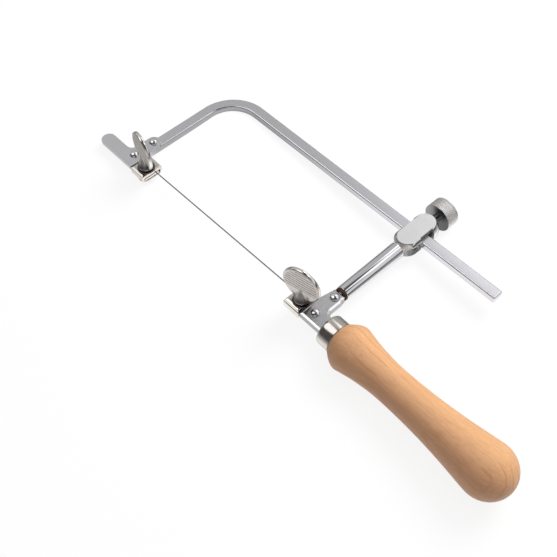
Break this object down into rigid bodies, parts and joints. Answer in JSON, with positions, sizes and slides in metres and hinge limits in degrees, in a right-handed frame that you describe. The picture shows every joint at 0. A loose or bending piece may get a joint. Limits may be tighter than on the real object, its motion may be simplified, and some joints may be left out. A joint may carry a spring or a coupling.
{
  "type": "adjustable fret saw",
  "caption": "Adjustable fret saw: bent steel bar frame, sliding block with clamp knob, wing-screw blade clamps, fitted fine blade and turned wooden handle.",
  "frame": {"origin": "where the rear wing screw's axis crosses the middle plane of the frame, between the rear jaws", "axes": "+X along the blade towards the handle, +Y from the blade towards the spine, +Z square to the flat of the frame, out of the face with the wing screws"},
  "size_m": [0.273, 0.1037, 0.0404],
  "materials": {
    "bar_steel": "satin nickel-plated flats",
    "block_steel": "satin flats and polished rounds",
    "rod_chrome": "mirror chrome",
    "rivet_steel": "polished domes",
    "nickel": "warm nickel plate",
    "dark_steel": "dark, oiled",
    "blade_steel": "hardened, blue-grey",
    "knob_steel": "knurled, satin",
    "brass": "plain",
    "handle_wood": "clear-varnished beech"
  },
  "bodies": {
    "frame": {"frame_bar": "bar_steel", "tip_plate": "bar_steel", "tip_rivets": "rivet_steel", "front_jaw": "nickel", "blade": "blade_steel"},
    "front_clamp": {"front_clamp_plate": "nickel", "front_washer": "dark_steel"},
    "front_screw": {"front_wing_screw": "nickel"},
    "slider": {"slider_block": "block_steel", "arm_rod": "rod_chrome", "rod_collar": "dark_steel", "cross_plate": "bar_steel", "cross_rivets": "rivet_steel", "rear_jaw": "nickel", "ferrule": "nickel", "handle": "handle_wood"},
    "rear_clamp": {"rear_clamp_plate": "nickel", "rear_washer": "dark_steel"},
    "rear_screw": {"rear_wing_screw": "nickel"},
    "shoe": {"clamp_shoe": "brass"},
    "knob": {"clamp_screw": "rod_chrome", "clamp_knob": "knob_steel"}
  },
  "joints": [
    {"name": "frame_slide", "type": "slide", "parent": "frame", "child": "slider", "axis": [1, 0, 0], "range_m": [0, 0.0435]},
    {"name": "front_plate_lift", "type": "slide", "parent": "frame", "child": "front_clamp", "axis": [0, 0, 1], "range_m": [0, 0.0009]},
    {"name": "front_screw_turn", "type": "hinge", "parent": "front_clamp", "child": "front_screw", "pos_m": [-0.115, -0.002, 0], "axis": [0, 0, 1], "range_deg": [0, 450]},
    {"name": "rear_plate_lift", "type": "slide", "parent": "slider", "child": "rear_clamp", "axis": [0, 0, 1], "range_m": [0, 0.0009]},
    {"name": "rear_screw_turn", "type": "hinge", "parent": "rear_clamp", "child": "rear_screw", "pos_m": [0, 0, 0], "axis": [0, 0, 1], "range_deg": [0, 450]},
    {"name": "shoe_slide", "type": "slide", "parent": "slider", "child": "shoe", "axis": [0, 1, 0], "range_m": [0, 0.0014]},
    {"name": "knob_turn", "type": "hinge", "parent": "shoe", "child": "knob", "pos_m": [0.0081, 0.0873, 0], "axis": [0, 1, 0], "range_deg": [0, 625]}
  ],
  "couplings": [
    {"joint": "front_plate_lift", "follows": "front_screw_turn", "m_per_rad": 0.00011141},
    {"joint": "rear_plate_lift", "follows": "rear_screw_turn", "m_per_rad": 0.00011141},
    {"joint": "shoe_slide", "follows": "knob_turn", "m_per_rad": 0.00012732}
  ]
}
